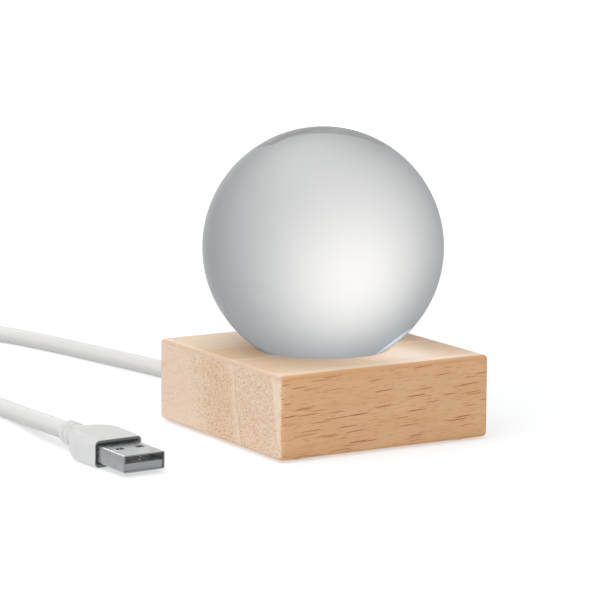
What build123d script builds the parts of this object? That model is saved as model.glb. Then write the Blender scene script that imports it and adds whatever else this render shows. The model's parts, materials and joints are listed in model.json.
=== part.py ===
from build123d import *
import os
from math import atan2, cos, degrees, pi, radians, sin, sqrt, tan

# Crystal ball lamp: a clear glass ball that rests in a round seat on a square wooden block.
# A light board in the block shines up through a frosted window, and a white cord with a
# flat plug feeds it.
# The lamp stands on Z = 0 with +Z up. The long-grain face of the block looks along -Y, its
# end grain along -X, and the cord leaves through the middle of the back face, along +Y.

os.makedirs("parts", exist_ok=True)

# Ball
ball_diameter = 64.0
seat_clearance = 0.25

# Wooden block, which is nearly as wide as the ball and as high as what it holds
ball_overhang = 0.1
block_edge_round = 1.3
seat_rim_chamfer = 0.3
# Walls and ledges from the side faces inwards: round the cover, the pocket, the light chamber,
# the window and the light hole, up to the rim of the ball's seat
block_wall = 4.3
cover_ledge = 4.7
board_ledge = 4.5
window_shoulder = 2.15
window_ledge = 1.85
seat_land = 3.18
chamber_height = 2.2
ball_window_gap = 1.7
cable_bore_clearance = 0.1
bore_mouth_chamfer = 0.5
cut_overrun = 1.0

# Feet
foot_diameter = 8.0
foot_height = 0.6
foot_inset = 7.0
foot_edge_chamfer = 0.2

# Window over the light
window_thickness = 1.4
window_clearance = 0.05
window_edge_chamfer = 0.2

# Light board and what is on it
board_edge_gap = 0.3
board_thickness = 1.6
chip_ring_count = 6
chip_ring_diameter = 20.0
chip_length = 3.5
chip_width = 2.8
chip_height = 0.8
chip_well_diameter = 2.2
chip_well_depth = 0.2
resistor_count = 3
resistor_pitch = 3.2
resistor_length = 2.0
resistor_width = 1.25
resistor_height = 0.5
resistor_row_offset = 8.0
solder_spacing = 9.6
solder_offset = 2.0
solder_foot_diameter = 2.6
solder_tip_diameter = 1.5
solder_height = 0.9

# Screws that hold the board and the cover
screw_count = 3
screw_clearance = 0.05
board_screw_inset = 2.4
board_screw_diameter = 2.0
board_screw_grip = 4.0
board_screw_head_diameter = 3.8
board_screw_head_height = 1.3
board_screw_head_crown = 0.5
board_hole_clearance = 0.1
cover_screw_inset = 1.8
cover_screw_diameter = 2.3
cover_screw_grip = 5.6
cover_screw_head_diameter = 4.2
first_board_screw_angle = 30.0
first_cover_screw_angle = 60.0

# Bottom cover
cover_edge_gap = 0.2
cover_thickness = 1.8
cover_edge_chamfer = 0.3

# Cord inside the block
cord_diameter = 4.8
tube_sides = 8
cable_end_inset = 18.5
tie_strap_thickness = 1.0
tie_strap_width = 2.5
tie_strap_gap = 0.05
tie_head_length = 4.4
tie_head_reach = 3.0
tie_head_overhang = 0.5
tie_tail_length = 1.4
tie_wall_gap = 0.2
tie_cover_gap = 0.55
tie_board_gap = 0.55
wire_diameter = 1.2
wire_spacing = 2.2
wire_dip = 1.6

# Plug, whose place is the end of the cord
shell_width = 12.0
shell_height = 4.5
shell_wall = 0.3
shell_corner_round = 0.5
shell_exposed_length = 12.6
shell_hidden_length = 4.2
shell_hole_width = 2.3
shell_hole_length = 1.9
shell_hole_spacing = 5.9
shell_hole_setback = 7.2
mouth_depth = 9.0
tongue_thickness = 1.9
tongue_side_gap = 0.1
tongue_setback = 0.4
tongue_edge_round = 0.3
contact_inner_spacing = 2.0
contact_outer_spacing = 7.0
contact_inner_setback = 2.3
contact_outer_setback = 1.3
contact_width = 1.0
contact_thickness = 0.2
contact_groove_depth = 0.25
contact_groove_gap = 0.1
core_border = 0.6
core_setback = 0.8
core_depth = 7.6
core_corner_round = 0.8
grip_width = 14.3
grip_height = 7.9
grip_length = 25.2
grip_neck_diameter = 5.9
grip_front_round = 0.25
rib_count = 2
rib_pitch = 2.1
rib_width = 1.6
rib_rise = 0.25
rib_setback = 0.6
# Sections of the grip from its front to its neck: how far back, how much of the extra width,
# how much of the extra height, and how round the corners are
grip_section_shares = (
    (0.000, 0.95, 0.65, 0.36),
    (0.111, 0.97, 0.76, 0.39),
    (0.222, 0.99, 0.86, 0.43),
    (0.333, 1.00, 0.95, 0.48),
    (0.444, 0.98, 1.00, 0.57),
    (0.556, 0.77, 0.91, 0.73),
    (0.667, 0.33, 0.48, 0.91),
    (0.778, 0.00, 0.00, 0.99),
)
# Route of each lead from the cord's end to its solder joint: across, along and how much of the dip
wire_route_shares = (
    (0.00, 0.28, 0.10),
    (0.50, 0.66, 1.00),
    (1.00, 1.00, 0.15),
)

# Cord outside the block: points chosen by hand, from the block to the coil and on to the plug
lamp_run_points = (
    (0.0, 31.9, 6.4),
    (0.0, 44.0, 6.4),
    (-0.5, 64.0, 2.4),
    (-2.1, 87.0, 2.4),
    (-6.2, 109.0, 2.4),
    (-9.7, 129.0, 2.4),
    (-14.2, 149.0, 2.4),
    (-18.6, 162.0, 2.4),
    (-21.0, 171.5, 3.2),
    (-21.0, 179.2, 3.2),
)
plug_run_points = (
    (-80.6, 179.2, 8.5),
    (-80.6, 171.5, 8.5),
    (-80.3, 158.0, 4.6),
    (-79.0, 139.0, 2.4),
    (-75.6, 118.0, 2.4),
    (-71.0, 97.0, 2.4),
    (-67.6, 76.0, 2.4),
    (-66.5, 58.0, 2.4),
    (-67.0, 44.0, 2.6),
    (-69.0, 31.7, 3.8),
    (-70.33, 20.7, 4.65),
    (-69.88, 11.7, 4.4),
)

# Coil of the put-away length
coil_centre_x = -50.8
coil_centre_y = 184.0
coil_mean_radius = 24.4
coil_pitch = 5.4
coil_layer_step = 5.3
coil_turns_per_layer = 2
coil_knots_per_turn = 4
coil_checks_per_turn = 72
coil_climb_share = 0.5
arc_share = 0.45
strap_thickness = 0.5
strap_width = 4.5
strap_gap = 0.3
strap_centre_share = 0.75

# Widths worked out from the sizes above, from the side faces inwards
ball_radius = ball_diameter / 2
cord_radius = cord_diameter / 2
half_side = ball_radius - ball_overhang
block_side = 2 * half_side
cover_recess_radius = half_side - block_wall
pocket_radius = cover_recess_radius - cover_ledge
chamber_radius = pocket_radius - board_ledge
window_radius = chamber_radius - window_shoulder
light_hole_radius = window_radius - window_ledge
seat_radius = light_hole_radius + seat_land
board_radius = pocket_radius - board_edge_gap
board_screw_circle = 2 * (chamber_radius + board_screw_inset)
cover_screw_circle = 2 * (pocket_radius + cover_screw_inset)

# Levels worked out from the floor upwards
block_bottom = foot_height
cover_top = block_bottom + cover_thickness
tie_radius = cord_radius + tie_strap_gap + tie_strap_thickness
cable_z = cover_top + tie_cover_gap + tie_radius
board_bottom = cable_z + tie_radius + tie_board_gap
board_top = board_bottom + board_thickness
chamber_top = board_top + chamber_height
window_top = chamber_top + window_thickness
ball_centre = window_top + ball_window_gap + ball_radius
ball_sink = ball_radius - sqrt(ball_radius**2 - seat_radius**2)
block_top = window_top + ball_window_gap + ball_sink
block_height = block_top - block_bottom

# The plug has its own frame: the cord enters its neck at the origin, its mouth looks along -Y
# and the holes of its shell are on top. The last run of the cord says where that frame lies.
grip_front_y = -grip_length
plug_tip_y = grip_front_y - shell_exposed_length
shell_back_y = grip_front_y + shell_hidden_length
plug_end = Vector(plug_run_points[-1])
plug_back = (Vector(plug_run_points[-2]) - plug_end).normalized()
plug_across = plug_back.cross(Vector(0, 0, 1)).normalized()
plug_place = Location(Plane(origin=plug_end, x_dir=plug_across, z_dir=plug_across.cross(plug_back)))
coil_turns = 2 * coil_turns_per_layer + coil_climb_share


def write(builder, name, place=Location()):
    """Label one finished piece, put it in its place and write it as its own file."""
    piece = builder.part.moved(place)
    piece.label = name
    export_step(piece, f"parts/{name}.step")


def ring_of_screws(circle, first_angle):
    """The places of one set of screws, as polar locations."""
    return PolarLocations(circle / 2, screw_count, start_angle=first_angle)


def half_disc(radius):
    """Half of a disc about the ball's centre, which turns into a ball or the hollow for one."""
    with BuildSketch(Plane.XZ) as disc:
        with BuildLine():
            CenterArc((0, ball_centre), radius, -90, 180)
            Line((0, ball_centre - radius), (0, ball_centre + radius))
        make_face()
    return disc.sketch


def build_crystal_ball():
    with BuildPart() as crystal_ball:
        revolve(half_disc(ball_radius), axis=Axis.Z)
    write(crystal_ball, "crystal_ball")


def build_wood_base():
    with BuildPart() as wood_base:
        with BuildSketch(Plane.XY.offset(block_bottom)):
            Rectangle(block_side, block_side)
        extrude(amount=block_height)
        fillet(wood_base.edges(), radius=block_edge_round)
        # The round seat follows the ball
        revolve(half_disc(ball_radius + seat_clearance), axis=Axis.Z, mode=Mode.SUBTRACT)
        seat_rim = wood_base.edges().filter_by(GeomType.CIRCLE).sort_by(Axis.Z)[-1]
        chamfer(seat_rim, length=seat_rim_chamfer)
        # Stepped pocket from below: cover recess, wiring pocket, light chamber, window recess, light hole
        with BuildSketch(Plane.XZ):
            with BuildLine():
                Polyline(
                    (0, block_bottom - cut_overrun),
                    (cover_recess_radius, block_bottom - cut_overrun),
                    (cover_recess_radius, cover_top),
                    (pocket_radius, cover_top),
                    (pocket_radius, board_top),
                    (chamber_radius, board_top),
                    (chamber_radius, chamber_top),
                    (window_radius + window_clearance, chamber_top),
                    (window_radius + window_clearance, window_top),
                    (light_hole_radius, window_top),
                    (light_hole_radius, block_top),
                    (0, block_top),
                    close=True,
                )
            make_face()
        revolve(axis=Axis.Z, mode=Mode.SUBTRACT)
        # Bore for the cord through the back wall, with a broken edge at its mouth
        with BuildSketch(Plane.XZ.offset(-half_side)):
            with Locations((0, cable_z)):
                Circle(cord_radius + cable_bore_clearance)
        extrude(amount=half_side - pocket_radius / 2, mode=Mode.SUBTRACT)
        bore_mouth = wood_base.edges().filter_by(GeomType.CIRCLE).sort_by(Axis.Y)[-1]
        chamfer(bore_mouth, length=bore_mouth_chamfer)
        # Blind holes for the board's screws and the cover's screws
        with BuildSketch(Plane.XY.offset(board_top)):
            with ring_of_screws(board_screw_circle, first_board_screw_angle):
                Circle(board_screw_diameter / 2 + screw_clearance)
        extrude(amount=board_screw_grip + screw_clearance, mode=Mode.SUBTRACT)
        with BuildSketch(Plane.XY.offset(cover_top)):
            with ring_of_screws(cover_screw_circle, first_cover_screw_angle):
                Circle(cover_screw_diameter / 2 + screw_clearance)
        extrude(amount=cover_screw_grip + screw_clearance, mode=Mode.SUBTRACT)
    write(wood_base, "wood_base")


def build_light_window():
    with BuildPart() as light_window:
        with BuildSketch(Plane.XY.offset(chamber_top)):
            Circle(window_radius)
        extrude(amount=window_thickness)
        chamfer(light_window.edges(), length=window_edge_chamfer)
    write(light_window, "light_window")


def build_led_board():
    with BuildPart() as led_board:
        with BuildSketch(Plane.XY.offset(board_bottom)):
            Circle(board_radius)
            with ring_of_screws(board_screw_circle, first_board_screw_angle):
                Circle(board_screw_diameter / 2 + board_hole_clearance, mode=Mode.SUBTRACT)
        extrude(amount=board_thickness)
    write(led_board, "led_board")


def build_led_chips():
    with BuildPart() as led_chips:
        with BuildSketch(Plane.XY.offset(board_top)):
            Rectangle(chip_length, chip_width)
            with PolarLocations(chip_ring_diameter / 2, chip_ring_count):
                Rectangle(chip_length, chip_width)
        extrude(amount=chip_height)
        with BuildSketch(Plane.XY.offset(board_top + chip_height)):
            Circle(chip_well_diameter / 2)
            with PolarLocations(chip_ring_diameter / 2, chip_ring_count):
                Circle(chip_well_diameter / 2)
        extrude(amount=-chip_well_depth, mode=Mode.SUBTRACT)
    write(led_chips, "led_chips")


def build_board_resistors():
    with BuildPart() as board_resistors:
        with BuildSketch(Plane.XY.offset(board_bottom)):
            with Locations((0, -resistor_row_offset)):
                with GridLocations(resistor_pitch, resistor_pitch, resistor_count, 1):
                    Rectangle(resistor_width, resistor_length)
        extrude(amount=-resistor_height)
    write(board_resistors, "board_resistors")


def build_solder_joints():
    with BuildPart() as solder_joints:
        with BuildSketch(Plane.XY.offset(board_bottom)):
            with Locations((-solder_spacing / 2, -solder_offset), (solder_spacing / 2, -solder_offset)):
                Circle(solder_foot_diameter / 2)
        slope = degrees(atan2((solder_foot_diameter - solder_tip_diameter) / 2, solder_height))
        extrude(amount=-solder_height, taper=slope)
    write(solder_joints, "solder_joints")


def build_board_screws():
    shank_radius = board_screw_diameter / 2
    head_radius = board_screw_head_diameter / 2
    head_face = board_bottom - board_screw_head_height
    head_shoulder = head_face + board_screw_head_crown
    crown_radius = (head_radius**2 + board_screw_head_crown**2) / (2 * board_screw_head_crown)
    tip = board_top + board_screw_grip
    with BuildPart() as one_screw:
        with BuildSketch(Plane.XZ):
            with BuildLine():
                Polyline(
                    (0, head_face),
                    (0, tip),
                    (shank_radius, tip),
                    (shank_radius, board_bottom),
                    (head_radius, board_bottom),
                    (head_radius, head_shoulder),
                )
                RadiusArc((head_radius, head_shoulder), (0, head_face), crown_radius)
            make_face()
        revolve(axis=Axis.Z)
    with BuildPart() as board_screws:
        with ring_of_screws(board_screw_circle, first_board_screw_angle):
            add(one_screw.part)
    write(board_screws, "board_screws")


def build_bottom_cover():
    with BuildPart() as bottom_cover:
        with BuildSketch(Plane.XY.offset(block_bottom)):
            Circle(cover_recess_radius - cover_edge_gap)
        extrude(amount=cover_thickness)
        outer_edge = bottom_cover.edges().sort_by(Axis.Z)[0]
        chamfer(outer_edge, length=cover_edge_chamfer)
        with Locations(bottom_cover.faces().sort_by(Axis.Z)[0]):
            with ring_of_screws(cover_screw_circle, -first_cover_screw_angle):
                CounterSinkHole(
                    radius=cover_screw_diameter / 2 + screw_clearance,
                    counter_sink_radius=cover_screw_head_diameter / 2 + screw_clearance,
                )
    write(bottom_cover, "bottom_cover")


def build_cover_screws():
    shank_radius = cover_screw_diameter / 2
    head_radius = cover_screw_head_diameter / 2
    with BuildPart() as one_screw:
        with BuildSketch(Plane.XZ):
            with BuildLine():
                Polyline(
                    (0, block_bottom),
                    (head_radius, block_bottom),
                    (shank_radius, block_bottom + head_radius - shank_radius),
                    (shank_radius, cover_top + cover_screw_grip),
                    (0, cover_top + cover_screw_grip),
                    close=True,
                )
            make_face()
        revolve(axis=Axis.Z)
    with BuildPart() as cover_screws:
        with ring_of_screws(cover_screw_circle, first_cover_screw_angle):
            add(one_screw.part)
    write(cover_screws, "cover_screws")


def build_rubber_feet():
    foot_spacing = block_side - 2 * foot_inset
    with BuildPart() as rubber_feet:
        with BuildSketch():
            with GridLocations(foot_spacing, foot_spacing, 2, 2):
                Circle(foot_diameter / 2)
        extrude(amount=foot_height)
        chamfer(rubber_feet.edges().group_by(Axis.Z)[0], length=foot_edge_chamfer)
    write(rubber_feet, "rubber_feet")


def corner_radii(points):
    """The largest arcs that the runs of a route allow: 0.45 of the shorter run at each corner."""
    radii = []
    for before, corner, after in zip(points, points[1:], points[2:]):
        run_in = Vector(corner) - Vector(before)
        run_out = Vector(after) - Vector(corner)
        half_turn = radians(run_in.get_angle(run_out)) / 2
        radii.append(arc_share * min(run_in.length, run_out.length) / tan(half_turn))
    return radii


def tube_section(route, radius):
    """A many-sided section with a flat underside, square to the start of a route."""
    with BuildSketch(Plane(origin=route @ 0, x_dir=(1, 0, 0), z_dir=route % 0)) as section:
        RegularPolygon(radius, tube_sides, rotation=180 / tube_sides)
    return section.sketch


def report_tube(name, tube, section, route):
    share = tube.part.volume / (section.area * route.length)
    print(name, round(route.length, 1), "mm long, volume over section times length", round(share, 4))


def tube_along(name, points, radius):
    """A tube along straight runs joined by tangent arcs."""
    with BuildPart() as tube:
        with BuildLine() as path:
            FilletPolyline(*points, radius=corner_radii(points))
        route = path.wire()
        section = tube_section(route, radius)
        sweep(sections=section, path=route)
    report_tube(name, tube, section, route)
    return tube, route.length


def build_cable_end():
    with BuildPart() as cable_end:
        with BuildSketch(Plane.XZ.offset(-half_side)):
            with Locations((0, cable_z)):
                Circle(cord_radius)
        extrude(amount=cable_end_inset)
    write(cable_end, "cable_end")


def build_cable_tie():
    bore_radius = cord_radius + tie_strap_gap
    head_edge = bore_radius + tie_head_reach
    head_depth = tie_strap_width + 2 * tie_head_overhang
    back_y = sqrt(pocket_radius**2 - head_edge**2) - tie_wall_gap
    head_centre = bore_radius + tie_head_reach / 2
    with BuildPart() as cable_tie:
        with BuildSketch(Plane.XZ.offset(-back_y + tie_head_overhang)):
            with Locations((0, cable_z)):
                Circle(tie_radius)
        extrude(amount=tie_strap_width)
        with BuildSketch(Plane.XZ.offset(-back_y)):
            with Locations((head_centre, cable_z)):
                Rectangle(tie_head_reach, tie_head_length)
        extrude(amount=head_depth)
        with BuildSketch(Plane.XZ.offset(-back_y + tie_head_overhang)):
            with Locations((head_centre, cable_z + tie_head_length / 2)):
                Rectangle(tie_strap_thickness, tie_tail_length, align=(Align.CENTER, Align.MIN))
        extrude(amount=tie_strap_width)
        with BuildSketch(Plane.XZ.offset(-back_y)):
            with Locations((0, cable_z)):
                Circle(bore_radius)
        extrude(amount=head_depth, mode=Mode.SUBTRACT)
    write(cable_tie, "cable_tie")


def build_lead_wire(name, side):
    start = (side * wire_spacing / 2, half_side - cable_end_inset, cable_z)
    end = (side * solder_spacing / 2, -solder_offset, board_bottom - solder_height)
    middle = [
        (
            start[0] + across * (end[0] - start[0]),
            start[1] + along * (end[1] - start[1]),
            cable_z - dip * wire_dip,
        )
        for across, along, dip in wire_route_shares
    ]
    lead_wire, _ = tube_along(name, [start, *middle, end], wire_diameter / 2)
    write(lead_wire, name)


def plug_section(y):
    """A plane square to the plug's axis, that looks at its mouth."""
    return Plane.XZ.offset(-y)


def contact_places():
    """Centre and setback of each of the four contacts."""
    return (
        (-contact_outer_spacing / 2, contact_outer_setback),
        (-contact_inner_spacing / 2, contact_inner_setback),
        (contact_inner_spacing / 2, contact_inner_setback),
        (contact_outer_spacing / 2, contact_outer_setback),
    )


def build_usb_shell():
    with BuildPart() as usb_shell:
        with BuildSketch(plug_section(plug_tip_y)):
            RectangleRounded(shell_width, shell_height, shell_corner_round)
            RectangleRounded(
                shell_width - 2 * shell_wall,
                shell_height - 2 * shell_wall,
                shell_corner_round - shell_wall,
                mode=Mode.SUBTRACT,
            )
        extrude(amount=plug_tip_y - shell_back_y)
        with BuildSketch():
            with Locations((0, plug_tip_y + shell_hole_setback)):
                with GridLocations(shell_hole_spacing, shell_hole_spacing, 2, 1):
                    Rectangle(shell_hole_width, shell_hole_length)
        extrude(amount=shell_height, both=True, mode=Mode.SUBTRACT)
    write(usb_shell, "usb_shell", plug_place)


def build_usb_tongue():
    ceiling = shell_height / 2 - shell_wall
    floor = -ceiling
    width = shell_width - 2 * shell_wall - 2 * tongue_side_gap
    top = floor + tongue_thickness
    with BuildPart() as usb_tongue:
        with BuildSketch(Plane.YZ.offset(-width / 2)):
            with BuildLine():
                Polyline(
                    (plug_tip_y + tongue_setback, floor),
                    (shell_back_y, floor),
                    (shell_back_y, ceiling),
                    (plug_tip_y + mouth_depth, ceiling),
                    (plug_tip_y + mouth_depth, top),
                    (plug_tip_y + tongue_setback, top),
                    close=True,
                )
            make_face()
        extrude(amount=width)
        long_edges = usb_tongue.edges().filter_by(Axis.Y)
        fillet(long_edges.group_by(Axis.Z)[0] + long_edges.group_by(Axis.Z)[-1], radius=tongue_edge_round)
        for centre, setback in contact_places():
            with BuildSketch(Plane.XY.offset(top)):
                with Locations((centre, plug_tip_y + mouth_depth)):
                    Rectangle(
                        contact_width + 2 * contact_groove_gap,
                        mouth_depth - setback + contact_groove_gap,
                        align=(Align.CENTER, Align.MAX),
                    )
            extrude(amount=-contact_groove_depth, mode=Mode.SUBTRACT)
    write(usb_tongue, "usb_tongue", plug_place)


def build_usb_contacts():
    groove_floor = shell_wall - shell_height / 2 + tongue_thickness - contact_groove_depth
    with BuildPart() as usb_contacts:
        for centre, setback in contact_places():
            with BuildSketch(Plane.XY.offset(groove_floor)):
                with Locations((centre, plug_tip_y + mouth_depth)):
                    Rectangle(contact_width, mouth_depth - setback, align=(Align.CENTER, Align.MAX))
            extrude(amount=contact_thickness)
        front_edges = usb_contacts.edges().filter_by(Axis.X).group_by(Axis.Z)[-1]
        lead_ins = [edge for edge in front_edges if edge.center().Y < plug_tip_y + mouth_depth / 2]
        chamfer(lead_ins, length=contact_thickness / 2)
    write(usb_contacts, "usb_contacts", plug_place)


def core_outline():
    """The outline of the plug's core, which the grip is moulded round."""
    return RectangleRounded(
        shell_width + 2 * core_border,
        shell_height + 2 * core_border,
        core_corner_round,
    )


def build_plug_core():
    core_front_y = grip_front_y + core_setback
    with BuildPart() as plug_core:
        with BuildSketch(plug_section(core_front_y)):
            core_outline()
        extrude(amount=-core_depth)
        with BuildSketch(plug_section(core_front_y)):
            RectangleRounded(shell_width, shell_height, shell_corner_round)
        extrude(amount=core_front_y - shell_back_y, mode=Mode.SUBTRACT)
    write(plug_core, "plug_core", plug_place)


def build_plug_overmould():
    extra_width = grip_width - grip_neck_diameter
    extra_height = grip_height - grip_neck_diameter
    neck_front_y = grip_front_y + grip_section_shares[-1][0] * grip_length
    with BuildPart() as plug_overmould:
        for back, wide, high, roundness in grip_section_shares:
            width = grip_neck_diameter + wide * extra_width
            height = grip_neck_diameter + high * extra_height
            with BuildSketch(plug_section(grip_front_y + back * grip_length)):
                RectangleRounded(width, height, roundness * height / 2)
        loft()
        front_edges = plug_overmould.faces().sort_by(Axis.Y)[0].edges()
        fillet(front_edges, radius=grip_front_round)
        with BuildSketch(plug_section(neck_front_y)):
            Circle(grip_neck_diameter / 2)
        extrude(amount=neck_front_y)
        for rib in range(rib_count):
            with BuildSketch(plug_section(-rib_setback - rib * rib_pitch)):
                Circle(grip_neck_diameter / 2 + rib_rise)
            extrude(amount=rib_width)
        with BuildSketch(plug_section(grip_front_y)):
            core_outline()
        extrude(amount=-(core_setback + core_depth), mode=Mode.SUBTRACT)
    write(plug_overmould, "plug_overmould", plug_place)


def build_free_run(name, points):
    """One free stretch of the cord, whose points are chosen by hand."""
    radii = corner_radii(points)
    print(name, "radii", [round(radius, 1) for radius in radii])
    run, length = tube_along(name, points, cord_radius)
    write(run, name)
    return length


def coil_radius(turn):
    """Distance from the coil's axis: in at a steady rate, round, and out again."""
    outer = coil_mean_radius + coil_pitch * coil_turns_per_layer / 2
    inner = coil_mean_radius - coil_pitch * coil_turns_per_layer / 2
    past = turn - coil_turns_per_layer
    if past <= 0:
        return outer - coil_pitch * turn
    if past <= coil_climb_share:
        return inner - coil_pitch * past * (1 - past / coil_climb_share)
    return inner + coil_pitch * (past - coil_climb_share)


def coil_point(turn):
    """A point of the coil's centreline after so many turns."""
    past = min(max((turn - coil_turns_per_layer) / coil_climb_share, 0), 1)
    climb = past * past * (3 - 2 * past)
    angle = 2 * pi * turn
    radius = coil_radius(turn)
    return Vector(
        coil_centre_x + radius * cos(angle),
        coil_centre_y + radius * sin(angle),
        cord_radius + strap_thickness + strap_gap + coil_layer_step * climb,
    )


def coil_direction(turn):
    """The way the coil runs there; at its two ends it is square to the runs that it meets."""
    if turn in (0, coil_turns):
        return Vector(0, 1 if turn == 0 else -1, 0)
    step = 1 / (coil_checks_per_turn * coil_checks_per_turn)
    return (coil_point(turn + step) - coil_point(turn - step)).normalized()


def biarc(start, start_direction, end, end_direction):
    """The middle point of two tangent arcs of equal reach, and the direction there."""
    span = end - start
    directions = start_direction + end_direction
    bend = 2 * (1 - start_direction.dot(end_direction))
    pull = span.dot(directions)
    reach = (-pull + sqrt(pull * pull + bend * span.dot(span))) / bend
    control_a = start + start_direction * reach
    control_b = end - end_direction * reach
    return (control_a + control_b) * 0.5, (control_b - control_a).normalized()


def build_cord_coil():
    knots = coil_turns * coil_knots_per_turn
    turns = [knot / coil_knots_per_turn for knot in range(int(knots) + 1)]
    with BuildPart() as cord_coil:
        with BuildLine() as path:
            start = coil_point(0)
            Line(start - coil_direction(0) * cord_diameter, start)
            for turn, next_turn in zip(turns, turns[1:]):
                here, there = coil_point(turn), coil_point(next_turn)
                heading, next_heading = coil_direction(turn), coil_direction(next_turn)
                middle, middle_heading = biarc(here, heading, there, next_heading)
                TangentArc(here, middle, tangent=heading)
                TangentArc(middle, there, tangent=middle_heading)
            end = coil_point(coil_turns)
            Line(end, end + coil_direction(coil_turns) * cord_diameter)
        route = path.wire()
        section = tube_section(route, cord_radius)
        sweep(sections=section, path=route)
    report_tube("cord_coil", cord_coil, section, route)
    check_count = int(coil_turns * coil_checks_per_turn) + 1
    samples = [coil_point(i / coil_checks_per_turn) for i in range(check_count)]
    apart = int(coil_climb_share * coil_checks_per_turn)
    least = min(
        (samples[i] - samples[j]).length
        for i in range(len(samples))
        for j in range(i + apart, len(samples))
    )
    tightest = min(coil_radius(i / coil_checks_per_turn) for i in range(check_count))
    print("coil's least gap to itself", round(least - cord_diameter, 2), "mm")
    print("coil's tightest radius", round(tightest, 1), "mm")
    write(cord_coil, "cord_coil")
    return route.length


def build_cord_tie():
    inner = coil_mean_radius - coil_pitch * coil_turns_per_layer / 2
    bundle_y = coil_centre_y - inner - strap_centre_share * coil_pitch
    width = coil_pitch + cord_diameter + 2 * strap_gap
    height = coil_layer_step + cord_diameter + 2 * strap_gap
    corner = cord_radius + strap_gap
    outer_width = width + 2 * strap_thickness
    outer_height = height + 2 * strap_thickness
    with BuildPart() as cord_tie:
        with BuildSketch(Plane.YZ.offset(coil_centre_x - strap_width / 2)):
            with Locations((bundle_y, strap_thickness + height / 2)):
                RectangleRounded(outer_width, outer_height, corner + strap_thickness)
                RectangleRounded(width, height, corner, mode=Mode.SUBTRACT)
        extrude(amount=strap_width)
    write(cord_tie, "cord_tie")


build_crystal_ball()
build_wood_base()
build_light_window()
build_led_board()
build_led_chips()
build_board_resistors()
build_solder_joints()
build_board_screws()
build_bottom_cover()
build_cover_screws()
build_rubber_feet()
build_cable_end()
build_cable_tie()
build_lead_wire("lead_wire_red", 1)
build_lead_wire("lead_wire_black", -1)
build_usb_shell()
build_usb_tongue()
build_usb_contacts()
build_plug_core()
build_plug_overmould()
lamp_run_length = build_free_run("cord_lamp_run", lamp_run_points)
coil_length = build_cord_coil()
plug_run_length = build_free_run("cord_plug_run", plug_run_points)
build_cord_tie()
print("cord in all", round(lamp_run_length + coil_length + plug_run_length), "mm")
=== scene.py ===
# %% [markdown]
# # A crystal ball lamp, dressed for its portrait
# The lamp is a clear glass ball that lies in the round seat of a square wooden block. A white cord
# leaves the back of the block and ends in a flat plug. The exact model of every piece is already
# there as a frame, so this script only gives the pieces their looks: glass, wood, plastic and metal,
# a smooth cord, the studio and the camera.

import json
from math import cos, pi, radians, sin

import bpy
from mathutils import Matrix, Vector


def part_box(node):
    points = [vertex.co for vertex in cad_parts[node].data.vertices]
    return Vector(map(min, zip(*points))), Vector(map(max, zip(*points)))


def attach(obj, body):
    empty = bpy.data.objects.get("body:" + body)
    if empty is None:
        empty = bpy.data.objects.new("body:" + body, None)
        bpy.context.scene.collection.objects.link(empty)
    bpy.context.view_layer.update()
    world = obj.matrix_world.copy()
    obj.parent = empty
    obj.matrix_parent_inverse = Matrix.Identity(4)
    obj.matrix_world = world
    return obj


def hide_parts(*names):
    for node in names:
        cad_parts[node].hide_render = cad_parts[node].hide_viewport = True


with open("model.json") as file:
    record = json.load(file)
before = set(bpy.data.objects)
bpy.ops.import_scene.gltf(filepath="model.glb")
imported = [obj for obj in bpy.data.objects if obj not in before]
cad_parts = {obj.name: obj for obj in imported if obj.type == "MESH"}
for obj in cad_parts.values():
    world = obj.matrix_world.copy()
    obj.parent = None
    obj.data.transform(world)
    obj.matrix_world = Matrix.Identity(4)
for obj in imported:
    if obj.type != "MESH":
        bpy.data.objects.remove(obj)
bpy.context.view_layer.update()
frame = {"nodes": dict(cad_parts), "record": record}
nodes = frame["nodes"]
scene = bpy.context.scene
mm = 0.001

# %% [markdown]
# ## The camera
# A long lens a good step away keeps the block's upright edges nearly parallel, as a catalogue
# photograph does. The camera is placed by two angles and a distance round a point inside the lamp,
# which is easier to correct by eye than three coordinates and three rotations.

# %% Camera
camera_azimuth = radians(-31.132)
camera_elevation = radians(9.623)
camera_roll = radians(0.374)
camera_distance = 882.0 * mm
camera_target = Vector((-7.042, 0.0, 35.645)) * mm
lens_mm = 200.105
sensor_mm = 36.0


def place_camera():
    level = cos(camera_elevation)
    towards_camera = Vector(
        (sin(camera_azimuth) * level, -cos(camera_azimuth) * level, sin(camera_elevation))
    )
    right = Vector((cos(camera_azimuth), sin(camera_azimuth), 0.0))
    up = towards_camera.cross(right)
    rolled_right = right * cos(camera_roll) + up * sin(camera_roll)
    rolled_up = up * cos(camera_roll) - right * sin(camera_roll)
    turn = Matrix((rolled_right, rolled_up, towards_camera)).transposed().to_4x4()
    data = bpy.data.cameras.new("portrait_camera")
    data.lens = lens_mm
    data.sensor_width = sensor_mm
    camera = bpy.data.objects.new("portrait_camera", data)
    camera.matrix_world = Matrix.Translation(camera_target + towards_camera * camera_distance) @ turn
    scene.collection.objects.link(camera)
    scene.camera = camera
    return camera


camera = place_camera()
print("camera at", [round(c / mm) for c in camera.location], "mm")

# %% [markdown]
# ## Nodes as plain sums
# Every finish here is built from nodes, and long lists of nodes and links are hard to read. So what
# leaves a node is wrapped in a Signal. A sum such as abs(a) * b then adds the Math nodes for it, and a
# new node takes its inputs by name, each as a signal to link or as a value to set.

# %% Signals


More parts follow.
